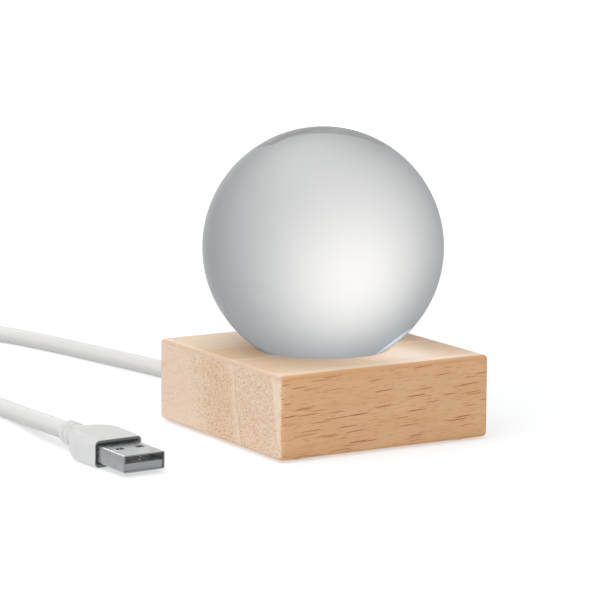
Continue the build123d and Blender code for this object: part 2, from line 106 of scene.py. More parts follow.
class Signal:
    """What leaves a node. Sums with it add Math nodes to its own tree."""

    def __init__(self, socket):
        self.socket = socket
        self.tree = socket.id_data

    def __add__(self, other):
        return math_node("ADD", self, other)

    __radd__ = __add__

    def __sub__(self, other):
        return math_node("SUBTRACT", self, other)

    def __rsub__(self, other):
        return math_node("SUBTRACT", other, self)

    def __mul__(self, other):
        return math_node("MULTIPLY", self, other)

    def __truediv__(self, other):
        return math_node("DIVIDE", self, other)

    def __rtruediv__(self, other):
        return math_node("DIVIDE", other, self)

    def __abs__(self):
        return math_node("ABSOLUTE", self)


def feed(socket, value):
    """Link a signal to an input, or set the input to a plain value."""
    if isinstance(value, Signal):
        value.tree.links.new(value.socket, socket)
    else:
        socket.default_value = value


def drive(node, **inputs):
    """Feed several inputs of a node by name, with _ for each space."""
    for name, value in inputs.items():
        feed(node.inputs[name.replace("_", " ")], value)


def add_node(tree, kind, settings=None, **inputs):
    """A new node. settings are its own properties, and inputs are fed by name."""
    node = tree.nodes.new(kind)
    for name, value in (settings or {}).items():
        setattr(node, name, value)
    drive(node, **inputs)
    return node


def outputs(tree, kind, settings=None, **inputs):
    """All that leaves a new node, by name."""
    node = add_node(tree, kind, settings, **inputs)
    return {socket.name: Signal(socket) for socket in node.outputs}


def tree_of(*values):
    """The tree of the first signal among the values."""
    return next(value.tree for value in values if isinstance(value, Signal))


def operate(kind, operation, values, result):
    """A node that works on its inputs in their order."""
    node = add_node(tree_of(*values), kind, {"operation": operation})
    for socket, value in zip(node.inputs, values):
        feed(socket, value)
    return Signal(node.outputs[result])


def math_node(operation, *values):
    """One Math node. Each value is a signal or a number."""
    return operate("ShaderNodeMath", operation, values, "Value")


def clamped(value):
    """The same sum, held between 0 and 1."""
    value.socket.node.use_clamp = True
    return value


def vector_math(operation, *values):
    """One Vector Math node. Each value is a signal or three numbers."""
    result = "Value" if operation in ("DOT_PRODUCT", "LENGTH") else "Vector"
    return operate("ShaderNodeVectorMath", operation, values, result)


def scaled(vector, factor):
    scale = {"operation": "SCALE"}
    return outputs(vector.tree, "ShaderNodeVectorMath", scale, Vector=vector, Scale=factor)["Vector"]


def combine(tree, x=0.0, y=0.0, z=0.0):
    """A vector from three parts."""
    return outputs(tree, "ShaderNodeCombineXYZ", X=x, Y=y, Z=z)["Vector"]


def split(vector):
    """The three parts of a vector."""
    return list(outputs(vector.tree, "ShaderNodeSeparateXYZ", Vector=vector).values())


def flat_distance(place):
    """How far a place is from the upright line through the origin."""
    across, deep, _ = split(place)
    return vector_math("LENGTH", combine(place.tree, across, deep))


# %% [markdown]
# ## Helpers for finishes
# A finish starts as a material with one Principled shader, whose even values sit on its own sockets.
# What changes over the surface comes from noise that is measured in millimetres of the object
# itself, so a grain has its real size on every piece and nothing slides when the camera moves.

# %% Material helpers


def new_material(name, colour, roughness, **values):
    """A material with one Principled shader, whose uniform values sit on its own sockets."""
    material = bpy.data.materials.new(name)
    material.use_nodes = True
    shader = material.node_tree.nodes["Principled BSDF"]
    drive(shader, Base_Color=(*colour, 1.0), Roughness=roughness, **values)
    return material, material.node_tree, shader


def dress(node_name, material):
    """Give a carried-over node its finish, and keep its shape as it is."""
    mesh = nodes[node_name].data
    mesh.materials.clear()
    mesh.materials.append(material)


def coords(tree, kind="Object"):
    return outputs(tree, "ShaderNodeTexCoord")[kind]


def measures(tree, turn=(0.0, 0.0, 0.0), cell=(1.0, 1.0, 1.0)):
    """Object coordinates in millimetres, turned by degrees and counted in cells of this size."""
    turned = [radians(angle) for angle in turn]
    per_cell = [1 / size for size in cell]
    in_mm = outputs(
        tree, "ShaderNodeMapping", Vector=coords(tree), Rotation=turned, Scale=(1 / mm,) * 3
    )["Vector"]
    return outputs(tree, "ShaderNodeMapping", Vector=in_mm, Scale=per_cell)["Vector"]


def noise(vector, detail=2.0, roughness=0.5):
    """Soft noise of one cell's size, between 0 and 1."""
    settings = {"Scale": 1.0, "Detail": detail, "Roughness": roughness}
    return outputs(vector.tree, "ShaderNodeTexNoise", Vector=vector, **settings)["Fac"]


def even_noise(tree, size, detail):
    """Noise with the same size in millimetres every way."""
    return noise(measures(tree, cell=(size,) * 3), detail)


def fade(value, low, high, start=0.0, end=1.0):
    """A smooth step: start below low, end above high. A high under low turns the step round."""
    if high < low:
        low, high, start, end = high, low, end, start
    ends = {"From_Min": low, "From_Max": high, "To_Min": start, "To_Max": end}
    smooth = {"interpolation_type": "SMOOTHSTEP"}
    return outputs(value.tree, "ShaderNodeMapRange", smooth, Value=value, **ends)["Result"]


def mix_colours(factor, first, second):
    """The second colour over the first. Each is a signal or three numbers."""
    node = add_node(tree_of(factor, first, second), "ShaderNodeMix", {"data_type": "RGBA"}, Factor=factor)
    sockets = [socket for socket in node.inputs if socket.type == "RGBA"]
    for socket, colour in zip(sockets, (first, second)):
        feed(socket, colour if isinstance(colour, Signal) else (*colour, 1.0))
    return Signal(next(socket for socket in node.outputs if socket.type == "RGBA"))


def paint(colour, *coats):
    """Lay coats over a colour, each with a mask and a colour of its own."""
    for mask, coat in coats:
        colour = mix_colours(mask, colour, coat)
    return colour


def mottled(clouds, colour, share):
    """A colour that drifts with the clouds between this share of itself and itself."""
    return mix_colours(fade(clouds, 0.3, 0.7), [part * share for part in colour], colour)


def brighter(colour, share):
    """A colour taken this share of the way to white."""
    return [part + (1 - part) * share for part in colour]


def choose_shader(factor, first, second):
    """The second shader where factor is 1, and the first elsewhere."""
    node = add_node(factor.tree, "ShaderNodeMixShader", Fac=factor)
    for socket, shader in zip(node.inputs[1:], (first, second)):
        feed(socket, Signal(shader.outputs[0]))
    return Signal(node.outputs["Shader"])


def emboss(shader, height, depth):
    """Turn a height between 0 and 1 into relief of this depth in metres."""
    relief = outputs(height.tree, "ShaderNodeBump", Strength=1.0, Distance=depth, Height=height)
    drive(shader, Normal=relief["Normal"])


# %% [markdown]
# ## Effects that several finishes share
# Moulded plastic, rubber and sheet metal have some things in common: a fine skin left by the tool
# that shaped them, edges that polish with handling, hair-thin marks from use, and dust. Each is a
# node group with its own inputs, made once and placed in every finish that needs it, because a change
# in one place then reaches all of them. Painted images would do it too, but they blur up close.

# %% Shared groups


def add_input(tree, name, kind, value):
    """A named input of a group or of a shape's tree."""
    socket = tree.interface.new_socket(name=name, in_out="INPUT", socket_type=kind)
    socket.default_value = value
    return socket.identifier


def new_group(name, inputs, results):
    """An empty shader group. inputs are names with a number each, results are names."""
    group = bpy.data.node_groups.new(name, "ShaderNodeTree")
    for title, value in inputs.items():
        add_input(group, title, "NodeSocketFloat", value)
    for title in results:
        group.interface.new_socket(name=title, in_out="OUTPUT", socket_type="NodeSocketFloat")
    return group, outputs(group, "NodeGroupInput"), group.nodes.new("NodeGroupOutput")


def place_group(tree, group, **values):
    """Put a group into a material with its own values, and give back its outputs."""
    return outputs(tree, "ShaderNodeGroup", {"node_tree": group}, **values)


def build_moulded_skin():
    """Fine even grain with slow cloudy variation. Grain and Cloud are sizes in millimetres."""
    sizes = {"Grain": 0.3, "Cloud": 9.0}
    group, entry, leave = new_group("moulded_skin", sizes, ["Height", "Clouds"])
    place = measures(group)
    drive(leave, Height=noise(scaled(place, 1.0 / entry["Grain"]), 3.0))
    drive(leave, Clouds=noise(scaled(place, 1.0 / entry["Cloud"]), 2.0))
    return group


def build_edge_wear():
    """A mask that is 1 on sharp edges. Width is in metres, and Ragged breaks the line up."""
    group, entry, leave = new_group("edge_wear", {"Width": 0.0003, "Ragged": 0.5}, ["Mask"])
    rounded = outputs(group, "ShaderNodeBevel", {"samples": 6}, Radius=entry["Width"])["Normal"]
    surface = outputs(group, "ShaderNodeNewGeometry")["Normal"]
    edge = fade(vector_math("DOT_PRODUCT", rounded, surface), 0.995, 0.85)
    drive(leave, Mask=clamped(edge - even_noise(group, 0.7, 4.0) * entry["Ragged"]))
    return group


def build_hair_marks():
    """Sparse hair-thin scratches that run one way in each patch. Length and Width are in mm."""
    group, entry, leave = new_group("hair_marks", {"Length": 4.0, "Width": 0.06}, ["Mask"])
    along, across, deep = split(measures(group, (17.0, 9.0, 31.0)))
    width = entry["Width"]
    cells = combine(group, along / entry["Length"], across / width, deep / width)
    drive(leave, Mask=fade(noise(cells, 1.0), 0.68, 0.76))
    return group


def build_settled_dust():
    """A mask for the film of dust on what faces up. Cover is how much of it there is."""
    group, entry, leave = new_group("settled_dust", {"Cover": 0.3}, ["Mask"])
    upwards = fade(split(coords(group, "Normal"))[2], 0.1, 0.95)
    patches = fade(even_noise(group, 2.5, 4.0), 0.25, 0.6, 0.8, 1.0)
    drive(leave, Mask=upwards * patches * entry["Cover"])
    return group


moulded_skin = build_moulded_skin()
edge_wear = build_edge_wear()
hair_marks = build_hair_marks()
settled_dust = build_settled_dust()
print("shared groups:", [group.name for group in (moulded_skin, edge_wear, hair_marks, settled_dust)])

# %% [markdown]
# ## The studio's light
# A clear ball shows what stands round it, upside down. So the studio is what gives this ball its
# looks: soft grey walls with one broad glow behind the lamp. A photographed room could be wrapped
# round the scene, but a few soft lobes of light say the same in a handful of numbers. Each lobe has
# a direction, a width and a strength, and fades like a bell curve. Only the camera's own view of
# the background is plain white.

# %% Studio: walls of light
wall_level = 0.38
cool_grey = (0.965, 1.0, 1.02)
warm_white = (1.015, 1.0, 0.975)
# How much of the walls a mirror reflection shows
mirror_share = 0.6
# Azimuth and elevation in degrees, width in degrees, strength; less than nothing is a darker patch
light_lobes = (
    (23.0, 5.0, 25.0, 0.38),
    (13.0, -16.0, 46.0, 0.30),
    (45.0, -55.0, 22.0, 0.12),
    (54.0, -36.0, 22.0, 0.06),
    (-50.0, 0.0, 26.0, 0.05),
    (104.0, 0.0, 34.0, -0.05),
    (0.0, -90.0, 25.0, 0.12),
)
# These stand behind the camera, and only someone who looks through the ball from another side sees them
side_lobes = (
    (-150.0, 0.0, 34.0, 0.36),
    (162.0, -14.0, 32.0, 0.38),
    (-112.0, -8.0, 24.0, 0.26),
)


def direction(azimuth, elevation):
    """The unit vector for two angles in degrees; azimuth 0 looks along +Y, and 90 along +X."""
    side, rise = radians(azimuth), radians(elevation)
    return Vector((sin(side) * cos(rise), cos(side) * cos(rise), sin(rise)))


def lobe_light(looking, azimuth, elevation, width, strength):
    """The light of one lobe for each direction that a ray looks in."""
    aim = vector_math("DOT_PRODUCT", looking, direction(azimuth, elevation))
    widths = math_node("ARCCOSINE", aim) / radians(width)
    return math_node("EXPONENT", widths * widths * -1.0) * strength


def build_world():
    world = bpy.data.worlds.new("studio")
    world.use_nodes = True
    scene.world = world
    tree = world.node_tree
    tree.nodes.clear()
    looking = coords(tree, "Generated")
    path = outputs(tree, "ShaderNodeLightPath")
    straight = math_node("LESS_THAN", path["Glossy Depth"], 0.5)
    beside = sum(lobe_light(looking, *lobe) for lobe in side_lobes)
    level = beside * path["Is Transmission Ray"] * straight + wall_level
    level = level + sum(lobe_light(looking, *lobe) for lobe in light_lobes)
    mirrored = path["Is Singular Ray"] * path["Is Reflection Ray"]
    level = level * (1.0 - mirrored * (1.0 - mirror_share))
    warmth = outputs(tree, "ShaderNodeMapRange", Value=level, From_Min=wall_level)["Result"]
    tint = mix_colours(warmth, cool_grey, warm_white)
    walls = add_node(tree, "ShaderNodeBackground", Color=tint, Strength=level)
    backdrop = add_node(tree, "ShaderNodeBackground", Color=(1.0, 1.0, 1.0, 1.0))
    seen = choose_shader(path["Is Camera Ray"], walls, backdrop)
    add_node(tree, "ShaderNodeOutputWorld", Surface=seen)


build_world()
scene.view_settings.view_transform = "Standard"
print("studio with", len(light_lobes) + len(side_lobes), "lobes of light")

# %% [markdown]
# ## The floor and the grey card
# The floor is a white sweep that glows a little itself, so that it stays clean white and keeps only
# the narrow shadow right beside the lamp. Under the lamp lies a round grey card that only rays
# through the glass see: the ball turns it upside down, and shows it as a thin crescent along the top
# of its rim. The card glows its own grey, as painted shade in that crescent.

# %% Studio: floor and card
floor_half = 3.0
floor_white = (0.495, 0.50, 0.505)
floor_glow = 0.32
floor_glow_seen = 0.22
floor_glow_far = 0.55
floor_clear_radius = 0.12
floor_far_radius = 0.9
card_radius = 50.5 * mm
card_level = 0.1 * mm
# Painted shade: the grey that the card glows, seen only through the glass
card_shade_grey = (0.37, 0.38, 0.388)
card_sides = 96


def lay_sheet(name, corners, material):
    """A flat piece of the studio through these corners, which isn't part of the lamp."""
    mesh = bpy.data.meshes.new(name)
    mesh.from_pydata(corners, [], [range(len(corners))])
    mesh.materials.append(material)
    sheet = bpy.data.objects.new(name, mesh)
    scene.collection.objects.link(sheet)
    sheet.visible_glossy = False
    return sheet


def floor_finish():
    material, tree, shader = new_material(
        "white_sweep", floor_white, 0.9, Emission_Color=(1.0, 1.0, 1.0, 1.0), Specular_IOR_Level=0.0
    )
    seen = outputs(tree, "ShaderNodeLightPath")["Is Camera Ray"]
    distance = vector_math("LENGTH", coords(tree))
    brightest = floor_glow_seen + floor_glow_far
    extra = fade(distance, floor_clear_radius, floor_far_radius, floor_glow_seen, brightest)
    drive(shader, Emission_Strength=seen * extra + floor_glow)
    # From below the sweep is clear, so that the lamp's underside can be looked at
    clear = add_node(tree, "ShaderNodeBsdfTransparent")
    below = outputs(tree, "ShaderNodeNewGeometry")["Backfacing"]
    drive(tree.nodes["Material Output"], Surface=choose_shader(below, shader, clear))
    return material


def build_floor():
    ends = ((-1, -1), (1, -1), (1, 1), (-1, 1))
    corners = [(x * floor_half, y * floor_half, 0.0) for x, y in ends]
    lay_sheet("floor", corners, floor_finish()).visible_transmission = False


def build_card():
    turns = [2 * pi * side / card_sides for side in range(card_sides)]
    corners = [(card_radius * cos(turn), card_radius * sin(turn), card_level) for turn in turns]
    # The card glows grey as painted shade
    glow = {"Emission_Color": (*card_shade_grey, 1.0), "Emission_Strength": 1.0}
    material = new_material("grey_card", (0.0, 0.0, 0.0), 1.0, Specular_IOR_Level=0.0, **glow)[0]
    card = lay_sheet("grey_card", corners, material)
    card.visible_camera = card.visible_diffuse = card.visible_shadow = False


build_floor()
build_card()
print("grey card", round(2 * card_radius / mm), "mm across")

# %% [markdown]
# ## The lamps
# Five soft boxes give the wood and the plastic their shape. They are hidden from mirror reflections,
# because a window shape in the glass would tell of lamps that the walls of light don't have. Two of
# them shine through the ball and draw the bright patch that a glass ball throws on what it stands
# on. Small lamps that light only a few pieces draw the plug's edge and cool that bright patch.

# %% Studio: lamps
back_light_tint = (0.90, 1.0, 1.14)
edge_lamp_power = 0.6
# Where on the block the cool beam lands, and how it gets there
beam_place = (12.5 * mm, -18.0 * mm)
beam_azimuth, beam_elevation = 160.0, 45.0
beam_distance = 0.25
beam_angle = radians(4.6)
beam_power = 1.3
beam_tint = (0.0, 0.42, 1.0)
beam_source = 4.0 * mm


def new_lamp(name, kind, power, place, towards, **settings):
    """A lamp that no glass shows, and that looks back along towards."""
    data = bpy.data.lights.new(name, kind)
    data.energy = power
    for key, value in settings.items():
        setattr(data, key, value)
    lamp = bpy.data.objects.new(name, data)
    lamp.location = place
    lamp.rotation_euler = towards.to_track_quat("Z", "Y").to_euler()
    lamp.visible_transmission = False
    scene.collection.objects.link(lamp)
    return lamp


def soft_box(name, azimuth, elevation, distance, size, power, **settings):
    """A round soft box that looks at the lamp, with metres and watts, and that no gloss shows."""
    towards = direction(azimuth, elevation)
    place = towards * distance
    box = new_lamp(name, "AREA", power, place, towards, shape="DISK", size=size, **settings)
    box.visible_glossy = False
    return box


def shine_through(light, seen):
    """Let a box throw its light through the ball. Looked at through the ball it has a share of it."""
    light.visible_transmission = True
    light.data.use_nodes = True
    tree = light.data.node_tree
    landed = math_node("GREATER_THAN", outputs(tree, "ShaderNodeLightPath")["Diffuse Depth"], 0.5)
    drive(tree.nodes["Emission"], Strength=math_node("MAXIMUM", landed, seen))


def light_only(light, *pieces):
    """Let a lamp shine on a few pieces alone, where its gloss draws their edges."""
    light.visible_glossy = True
    receivers = bpy.data.collections.new(light.name + "_receivers")
    for piece in pieces:
        receivers.objects.link(piece)
    light.light_linking.receiver_collection = receivers


def cool_beam():
    """A narrow beam on the wood beside the ball, where the ball gathers the light."""
    towards = direction(beam_azimuth, beam_elevation)
    place = Vector((*beam_place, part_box("wood_base")[1].z)) + towards * beam_distance
    shape = {"spot_size": beam_angle, "spot_blend": 1.0, "shadow_soft_size": beam_source}
    return new_lamp("patch_beam", "SPOT", beam_power, place, towards, color=beam_tint, **shape)


shine_through(soft_box("back_box", -30, 50, 0.9, 0.32, 2.2, color=back_light_tint), 0.09)
shine_through(soft_box("sky_box", -60, 78, 1.0, 0.8, 5.3), 0.12)
soft_box("right_box", 70, 52, 1.0, 0.5, 0.3)
soft_box("left_box", -110, 42, 1.0, 1.2, 4.6)
soft_box("front_box", 175, 48, 1.2, 0.7, 2.0)
edge_box = soft_box("edge_box", -11, 31, 0.8, 0.18, edge_lamp_power)
light_only(edge_box, nodes["usb_shell"], nodes["plug_core"])
light_only(cool_beam(), nodes["wood_base"])

# %% [markdown]
# ## The cord
# The cord is one free length of round flexible lead. It leaves the back of the block, comes down to
# the floor, runs to a neat coil that lies outside the picture, and comes back to the plug. One NURBS
# spline carries all of it: listed points for the two free stretches, and a loop for the turns.

# %% Cord
cord_diameter = 4.8 * mm
lamp_run_points = (
    (0.0, 31.9, 6.4),
    (0.0, 44.0, 6.4),
    (-0.5, 64.0, 2.4),
    (-2.1, 87.0, 2.4),
    (-6.2, 109.0, 2.4),
    (-9.7, 129.0, 2.4),
    (-14.2, 149.0, 2.4),
    (-18.6, 162.0, 2.4),
    (-21.0, 171.5, 3.2),
    (-21.0, 179.2, 3.2),
)
plug_run_points = (
    (-80.6, 179.2, 8.5),
    (-80.6, 171.5, 8.5),
    (-80.3, 158.0, 4.6),
    (-79.0, 139.0, 2.4),
    (-75.6, 118.0, 2.4),
    (-71.0, 97.0, 2.4),
    (-67.6, 76.0, 2.4),
    (-66.5, 58.0, 2.4),
    (-67.0, 44.0, 2.6),
    (-69.0, 31.7, 3.8),
    (-70.33, 20.7, 4.65),
    (-69.88, 11.7, 4.4),
)
coil_centre = (-50.8, 184.0)
coil_mean_radius = 24.4
coil_pitch = 5.4
coil_layer_step = 5.3
coil_low_level = 3.2
coil_turns_per_layer = 2
coil_climb_share = 0.5
coil_points_per_turn = 16


def coil_point(turn):
    """A point of the coil's centreline: in at a steady rate, up a layer while it turns round, and out."""
    half_band = coil_pitch * coil_turns_per_layer / 2
    outer = coil_mean_radius + half_band
    inner = coil_mean_radius - half_band
    past = turn - coil_turns_per_layer
    if past <= 0:
        radius = outer - coil_pitch * turn
    elif past <= coil_climb_share:
        radius = inner - coil_pitch * past * (1 - past / coil_climb_share)
    else:
        radius = inner + coil_pitch * (past - coil_climb_share)
    climbed = min(max(past / coil_climb_share, 0.0), 1.0)
    level = coil_low_level + coil_layer_step * climbed * climbed * (3 - 2 * climbed)
    angle = 2 * pi * turn
    return (coil_centre[0] + radius * cos(angle), coil_centre[1] + radius * sin(angle), level)


coil_turns = 2 * coil_turns_per_layer + coil_climb_share
coil_steps = int(coil_turns * coil_points_per_turn)
coil_points = [coil_point(step / coil_points_per_turn) for step in range(coil_steps + 1)]
cord_points = [*lamp_run_points, *coil_points, *plug_run_points]


def build_cord():
    curve = bpy.data.curves.new("cord", "CURVE")
    curve.dimensions = "3D"
    spline = curve.splines.new("NURBS")
    spline.points.add(len(cord_points) - 1)
    for point, place in zip(spline.points, cord_points):
        point.co = (*(Vector(place) * mm), 1.0)
    spline.order_u = 3
    spline.use_endpoint_u = True
    spline.resolution_u = 6
    curve.bevel_depth = cord_diameter / 2
    curve.bevel_resolution = 7
    curve.use_fill_caps = True
    cord = bpy.data.objects.new("cord", curve)
    scene.collection.objects.link(cord)
    cord.visible_transmission = cord.visible_glossy = False
    return cord


def stand_for(piece, body, slot, *node_names):
    """Let a piece ride on a body and take the place of its CAD nodes."""
    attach(piece, body)
    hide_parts(*node_names)


cord = build_cord()
print("cord spline with", len(cord_points), "points")

# %% [markdown]
# ## White moulded plastic
# The cord's jacket and the plug's grip are the same soft white plastic. It is never one flat white:
# the mould leaves a fine skin, the colour drifts a little, handled edges polish and dust settles on
# top. The shared groups give all four, and the colour stays close to white so that the shading tells
# the shape. The grip also lets a little light through, which softens the rings of its neck. Two masks
# lay painted shade as grey: on the cord's underside, and on the grip's flat rim round the mouth.

# %% White plastic
# Grey of the dust on top, and also of the painted shade on the cord's underside
dust_and_shade_grey = (0.50, 0.49, 0.47)
# Painted shade: the grey laid on the grip's flat rim round the mouth
rim_shade_grey = (0.24, 0.245, 0.25)
rim_reach = 16.0 * mm
plug_mount = next(mount for mount in frame["record"]["mounts"] if mount["name"] == "plug_front")
plug_axis = Vector(plug_mount["axis"])


def moulded_finish(name, colour, roughness, grain, depth, drift, cover=0.1, **values):
    """A moulded plastic or rubber: skin, cloudy colour, edges that shine a little, and dust on top."""
    material, tree, shader = new_material(name, colour, roughness, **values)
    skin = place_group(tree, moulded_skin, Grain=grain)
    wear = place_group(tree, edge_wear, Width=0.25 * mm, Ragged=0.6)["Mask"]
    dust = place_group(tree, settled_dust, Cover=cover)["Mask"]
    clouds = mottled(skin["Clouds"], colour, 1 - drift)
    dull = fade(skin["Clouds"], 0.25, 0.75, roughness * 0.85, roughness * 1.15)
    drive(
        shader,
        Base_Color=paint(clouds, (wear, brighter(colour, drift)), (dust, dust_and_shade_grey)),
        Roughness=dull - wear * (roughness * 0.4),
    )
    emboss(shader, skin["Height"], depth)
    return material


def paint_shade_over(material, build_mask, colour):
    """Lay a painted shade colour over a finish, where the mask says."""
    shader = material.node_tree.nodes["Principled BSDF"]
    before = Signal(shader.inputs["Base Color"].links[0].from_socket)
    drive(shader, Base_Color=mix_colours(build_mask(material.node_tree), before, colour))


def rim_shade_mask(tree):
    """Painted shade on the flat rim round the plug's mouth: the faces that look the way the plug points.
    """
    kinds = ("Normal", "Object")
    facing, place = (vector_math("DOT_PRODUCT", coords(tree, kind), plug_axis) for kind in kinds)
    mouth = Vector(plug_mount["pos_m"]).dot(plug_axis)
    near_mouth = math_node("GREATER_THAN", place, mouth - rim_reach)
    return fade(facing, 0.8, 0.95) * near_mouth


def underside_shade_mask(tree):
    """Painted shade: the cord's underside, a little greyer than the top."""
    return fade(split(coords(tree, "Normal"))[2], 0.45, -0.7, 0.0, 0.5)


cord_white = moulded_finish(
    "cord_jacket_white", (0.725, 0.705, 0.68), 0.38, 0.5, 0.012 * mm, 0.03, cover=0.15
)
# Painted shade: the cord's underside is laid a little grey
paint_shade_over(cord_white, underside_shade_mask, dust_and_shade_grey)
lets_light_in = {
    "Subsurface_Weight": 0.3,
    "Subsurface_Radius": (1.0, 0.95, 0.9),
    "Subsurface_Scale": 1.2 * mm,
}
grip_white = moulded_finish(
    "grip_white", (0.75, 0.74, 0.725), 0.42, 0.22, 0.010 * mm, 0.03, cover=0.45, **lets_light_in
)
# Painted shade: the grip's rim round the mouth is laid grey
paint_shade_over(grip_white, rim_shade_mask, rim_shade_grey)
cord.data.materials.append(cord_white)
stand_for(cord, "base", "cord_jacket", "cord_lamp_run", "cord_coil", "cord_plug_run")
dress("plug_overmould", grip_white)
dress("cable_end", cord_white)
for node_name in ("cord_tie", "plug_overmould", "plug_core", "usb_shell", "usb_tongue"):
    nodes[node_name].visible_transmission = False
nodes["cord_tie"].visible_glossy = False
print("white plastic on the cord and the grip")

# %% [markdown]
# ## The glass ball
# The ball is one solid ball of clear glass, ground and polished. A ball made from rings of longitude
# has pinched poles, which glass would show as a star. So Geometry Nodes start from a finely divided
# cube and push every point out to the radius. The tangent step evens out the squares, which would
# crowd towards the cube's corners.

# %% Ball shape
glass_index = 1.5
ball_rows = 112
input_kinds = {float: "NodeSocketFloat", int: "NodeSocketInt", list: "NodeSocketVector"}


def new_shape(name, sizes):
    """An empty tree with named inputs, those inputs as signals, and the values to run it with."""
    tree = bpy.data.node_groups.new(name, "GeometryNodeTree")
    values = {
        add_input(tree, title, input_kinds[type(size)], size): size for title, size in sizes.items()
    }
    return tree, outputs(tree, "NodeGroupInput"), values


def reshape(geometry, kind, settings=None, **inputs):
    """Pass geometry through one more node."""
    return outputs(geometry.tree, "GeometryNode" + kind, settings, Geometry=geometry, **inputs)["Geometry"]


def finish_shape(geometry, material, smooth=True):
    """Realize the instances, set the shading and the material, and end the tree."""
    tree = geometry.tree
    tree.interface.new_socket(name="Geometry", in_out="OUTPUT", socket_type="NodeSocketGeometry")
    real = reshape(geometry, "RealizeInstances")
    shaded = reshape(real, "SetShadeSmooth", Shade_Smooth=smooth)
    add_node(tree, "NodeGroupOutput", Geometry=reshape(shaded, "SetMaterial", Material=material))


def grow_piece(name, tree, values, body, slot, node_name):
    """Run a tree with these values of its inputs, and keep the result as a plain mesh."""
    piece = bpy.data.objects.new(name, bpy.data.meshes.new(name + "_seed"))
    scene.collection.objects.link(piece)
    modifier = piece.modifiers.new("shape", "NODES")
    modifier.node_group = tree
    for identifier, value in values.items():
        modifier[identifier] = value
    reach = bpy.context.evaluated_depsgraph_get()
    mesh = bpy.data.meshes.new_from_object(piece.evaluated_get(reach))
    piece.modifiers.remove(modifier)
    piece.data = mesh
    mesh.name = name
    stand_for(piece, body, slot, node_name)
    print(name, "with", len(mesh.polygons), "faces")
    return piece


def glass_finish():
    """Clear glass with a breath of dust on its upper side and the faintest polishing waves."""
    material, tree, shader = new_material(
        "clear_glass", (1.0, 1.0, 1.0), 0.0, Transmission_Weight=1.0, IOR=glass_index
    )
    upwards = split(coords(tree, "Normal"))[2]
    specks = fade(even_noise(tree, 0.8, 3.0), 0.62, 0.8)
    drive(shader, Roughness=specks * fade(upwards, 0.2, 0.9, 0.0, 0.03))
    emboss(shader, even_noise(tree, 12.0, 0.0), 0.01 * mm)
    return material


def build_ball():
    low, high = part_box("crystal_ball")
    sizes = {"Radius": (high.z - low.z) / 2, "Centre": list((low + high) / 2), "Rows": ball_rows}
    tree, entry, values = new_shape("ball_from_cube", sizes)
    rows = {side: entry["Rows"] for side in ("Vertices_X", "Vertices_Y", "Vertices_Z")}
    cube = outputs(tree, "GeometryNodeMeshCube", Size=(2.0, 2.0, 2.0), **rows)["Mesh"]
    place = outputs(tree, "GeometryNodeInputPosition")["Position"]
    even = vector_math("TANGENT", vector_math("MULTIPLY", place, (pi / 4,) * 3))
    reach = scaled(vector_math("NORMALIZE", even), entry["Radius"])
    finish_shape(
        reshape(cube, "SetPosition", Position=vector_math("ADD", reach, entry["Centre"])), glass_finish()
    )
    return grow_piece("crystal_ball_glass", tree, values, "ball", "glass", "crystal_ball")


ball = build_ball()

# %% [markdown]
# ## The wood
# The block is one piece of pale hardwood, sanded and left bare. Its left and right faces are end
# grain, full of fine pores, with growth rings that stand nearly upright. The front and back show the
# same pores cut lengthwise, as short thin dashes. One pattern in three dimensions gives both: cells
# that are long along the grain and narrow across it are dashes on one face and dots on the other, and
# they run through the edges as they do in real wood. The top and the end grain are painted lighter
# than the front, partly by the grain and partly as painted light from above and from the left.

# %% Wood: colours and sizes
# The top and the end grain are painted lighter than the front, partly by grain and partly as painted light
# from above and the left
front_wood = (0.77, 0.452, 0.236)
front_wood_light = (0.81, 0.50, 0.28)
front_wood_dark = (0.71, 0.385, 0.182)
top_wood = (0.95, 0.78, 0.61)
top_wood_dark = (0.83, 0.58, 0.37)
end_wood = (0.83, 0.635, 0.475)
end_wood_light = (0.875, 0.71, 0.555)
end_wood_dark = (0.77, 0.545, 0.37)
# Painted shade on the rounded edges, mixed with real wear on sharp edges
edge_shade_and_wear_wood = (0.60, 0.45, 0.34)
pore_brown = (0.42, 0.09, 0.018)
end_pore_brown = (0.52, 0.23, 0.08)
# Painted shade: the grey the top takes where a ray reaches it through the ball or mirrored in it
through_ball_shade_grey = (0.31, 0.314, 0.32)
seat_rim_radius = 20.5
ring_lean = 12.0
grain_rise = 2.5
ring_sway = 3.0
# Sizes of the pattern's cells in millimetres: along the grain, across it and upwards
sway_cell = (40.0, 14.0, 9.0)
cloud_cell = (30.0, 7.0, 5.0)
pore_cell = (15.0, 0.52, 0.52)
fine_pore_cell = (4.5, 0.40, 0.40)
fibre_cell = (9.0, 0.5, 0.26)
speck_cell = (5.0, 0.42, 0.42)
end_mark_cell = (12.0, 6.0, 1.4)
# Places across the rings in millimetres, and how light the wood is there
ring_tones = (
    (-36.0, 0.95),
    (-30.2, 0.92),
    (-29.6, 0.50),
    (-20.0, 0.42),
    (-10.9, 0.46),
    (-10.4, 0.18),
    (-10.0, 0.70),
    (-8.8, 0.62),
    (-7.8, 0.34),
    (-1.0, 0.26),
    (6.8, 0.38),
    (7.8, 0.58),
    (9.4, 0.50),
    (14.0, 0.62),
    (24.0, 0.66),
    (33.0, 0.72),
)

# %% Wood: its pattern


def tone_ramp(value, stops):
    """A curve through stops, from a place to a tone."""
    low, high = stops[0][0], stops[-1][0]
    share = outputs(value.tree, "ShaderNodeMapRange", Value=value, From_Min=low, From_Max=high)["Result"]
    ramp = add_node(value.tree, "ShaderNodeValToRGB", Fac=share)
    places = ramp.color_ramp.elements
    while len(places) < len(stops):
        places.new(0.5)
    for element, (place, tone) in zip(places, stops):
        element.position = (place - low) / (high - low)
        element.color = (tone, tone, tone, 1.0)
    return Signal(ramp.outputs["Color"])


